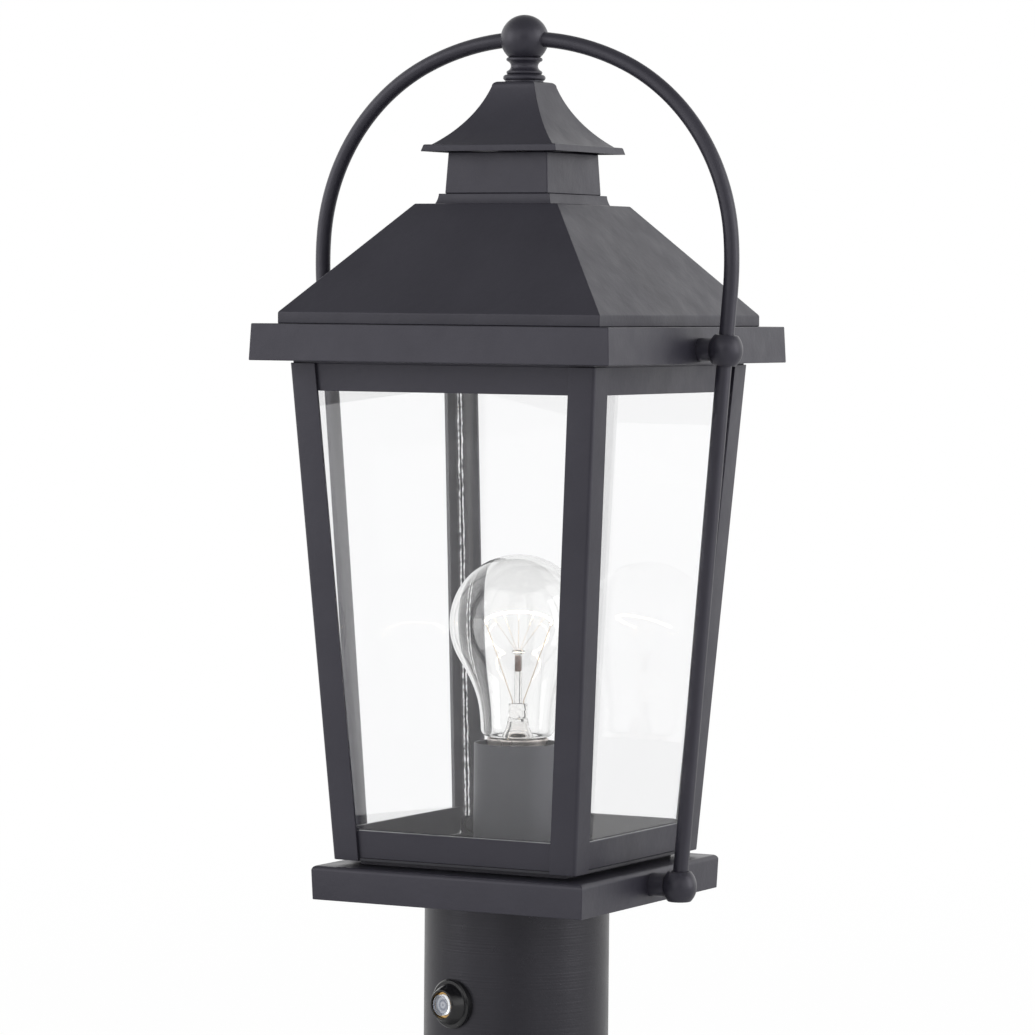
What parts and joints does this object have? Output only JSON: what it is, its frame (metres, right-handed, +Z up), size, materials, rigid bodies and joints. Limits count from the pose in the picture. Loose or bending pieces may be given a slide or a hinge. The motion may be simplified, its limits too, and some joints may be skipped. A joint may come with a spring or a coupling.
{
  "type": "post top lantern",
  "caption": "Square post top lantern with clear panes, a tiered roof under a round-rod bail, a clear bulb, a photocell and a tube that slips over a round post.",
  "frame": {"origin": "centre of the fitter tube's lower rim, at the height of the rim", "axes": "+Z up along the tube and the post, X along the bail from left to right, -Y the front, where the photocell is"},
  "size_m": [0.211, 0.1728, 0.5094],
  "materials": {
    "black_coat": "satin powder coat, fine texture",
    "screw_steel": "blackened",
    "pane_glass": "clear float glass",
    "plated_steel": "zinc plated",
    "cup_coat": "satin grey-black",
    "phenolic": "moulded, dull",
    "shell_brass": "pressed",
    "cap_aluminium": "rolled, bright",
    "black_glass": "gloss vitrite",
    "solder": "dull solder",
    "bulb_clear": "clear blown glass",
    "tungsten": "glowing",
    "nickel_wire": "drawn wire",
    "photocell_black": "moulded, satin",
    "photocell_gilt": "thin gilt ring",
    "photocell_clear": "clear lens",
    "photocell_disc": "pale disc with fine tracks",
    "wire_cover": "insulated wire",
    "connector_plastic": "moulded"
  },
  "bodies": {
    "lantern_base": {"fitter_tube": "black_coat", "tube_flange": "black_coat", "base_pan": "black_coat", "plinth_plate": "black_coat", "floor_plate": "black_coat", "corner_post_front_left": "black_coat", "corner_post_front_right": "black_coat", "corner_post_back_right": "black_coat", "corner_post_back_left": "black_coat", "bottom_rails": "black_coat", "top_rails": "black_coat", "top_frame": "black_coat", "corner_clips": "black_coat", "lower_balls": "black_coat", "lower_standoffs": "black_coat", "base_screws": "screw_steel", "clip_screws": "screw_steel", "glass_front": "pane_glass", "glass_right": "pane_glass", "glass_back": "pane_glass", "glass_left": "pane_glass", "base_nuts": "plated_steel", "nipple": "plated_steel", "nipple_nuts": "plated_steel", "socket_cup": "cup_coat", "lampholder": "phenolic", "screw_shell": "shell_brass", "centre_contact": "shell_brass", "photocell_body": "photocell_black", "photocell_nut": "photocell_black", "photocell_ring": "photocell_gilt", "photocell_lens": "photocell_clear", "photocell_cell": "photocell_disc", "wires": "wire_cover", "wire_connectors": "connector_plastic"},
    "roof": {"fascia": "black_coat", "hip_roof": "black_coat", "cupola_base": "black_coat", "cupola_box": "black_coat", "flared_cap": "black_coat", "finial": "black_coat", "bail_arm_left": "black_coat", "bail_arm_right": "black_coat", "side_rod_left": "black_coat", "side_rod_right": "black_coat", "fascia_balls": "black_coat", "fascia_standoffs": "black_coat", "roof_stud": "plated_steel", "stud_washer": "plated_steel", "stud_nut": "plated_steel"},
    "bulb": {"bulb_glass": "bulb_clear", "bulb_base": "cap_aluminium", "bulb_insulator": "black_glass", "bulb_contact": "solder", "bulb_stem": "bulb_clear", "bulb_wires": "nickel_wire", "bulb_filament": "tungsten"},
    "screw_1": {"set_screw_1": "screw_steel"},
    "screw_2": {"set_screw_2": "screw_steel"},
    "screw_3": {"set_screw_3": "screw_steel"}
  },
  "joints": [
    {"name": "roof_lift", "type": "slide", "parent": "lantern_base", "child": "roof", "axis": [0, 0, 1], "range_m": [0, 0.06]},
    {"name": "bulb_lift", "type": "slide", "parent": "lantern_base", "child": "bulb", "axis": [0, 0, 1], "range_m": [0, 0.05]},
    {"name": "set_screw_1_drive", "type": "slide", "parent": "lantern_base", "child": "screw_1", "axis": [-0.5, 0.866, 0], "range_m": [0, 0.003]},
    {"name": "set_screw_2_drive", "type": "slide", "parent": "lantern_base", "child": "screw_2", "axis": [-0.5, -0.866, 0], "range_m": [0, 0.003]},
    {"name": "set_screw_3_drive", "type": "slide", "parent": "lantern_base", "child": "screw_3", "axis": [1, 0, 0], "range_m": [0, 0.003]}
  ]
}
